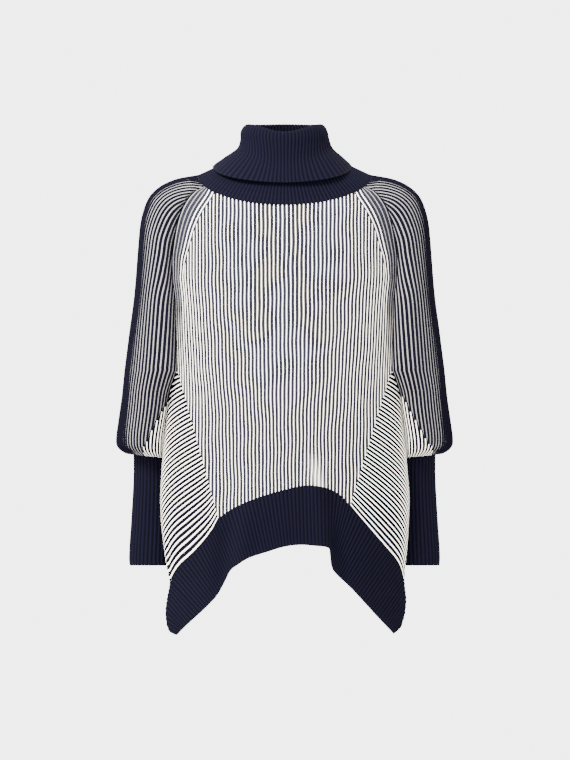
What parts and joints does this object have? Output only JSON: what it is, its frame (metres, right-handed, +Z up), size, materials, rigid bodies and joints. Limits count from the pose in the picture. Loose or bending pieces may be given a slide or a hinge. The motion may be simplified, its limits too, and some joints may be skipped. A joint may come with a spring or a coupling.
{
  "type": "turtleneck sweater",
  "caption": "Rib-knit turtleneck sweater, worn shape with nobody in it: folded collar, raglan sleeves gathered into long cuffs, side gores and a pointed hem band",
  "frame": {"origin": "base of the neck, level with the shoulders, in the middle of the sweater: where it is held", "axes": "+Z up towards the collar, the front faces -Y, the wearer's left is +X; the collar opens along +Z"},
  "size_m": [0.5044, 0.2236, 0.7654],
  "materials": {
    "front_knit": "cream ribs over navy, soft wool knit, matte",
    "back_knit": "cream ribs over navy, soft wool knit, matte",
    "front_gore_right_knit": "cream ribs over navy, soft wool knit, matte",
    "front_gore_left_knit": "cream ribs over navy, soft wool knit, matte",
    "back_gore_right_knit": "cream ribs over navy, soft wool knit, matte",
    "back_gore_left_knit": "cream ribs over navy, soft wool knit, matte",
    "hem_front_knit": "plain navy rib, matte",
    "hem_back_knit": "plain navy rib, matte",
    "sleeve_right_knit": "thin navy ribs over a grey-beige ground, matte",
    "sleeve_left_knit": "thin navy ribs over a grey-beige ground, matte",
    "cuff_right_knit": "plain navy rib, matte",
    "cuff_left_knit": "plain navy rib, matte",
    "collar_knit": "plain navy rib, matte"
  },
  "bodies": {
    "root": {"front": "front_knit", "back": "back_knit", "front_gore_right": "front_gore_right_knit", "front_gore_left": "front_gore_left_knit", "back_gore_right": "back_gore_right_knit", "back_gore_left": "back_gore_left_knit", "hem_front": "hem_front_knit", "hem_back": "hem_back_knit", "sleeve_right": "sleeve_right_knit", "sleeve_left": "sleeve_left_knit", "cuff_right": "cuff_right_knit", "cuff_left": "cuff_left_knit", "collar": "collar_knit"}
  },
  "joints": []
}
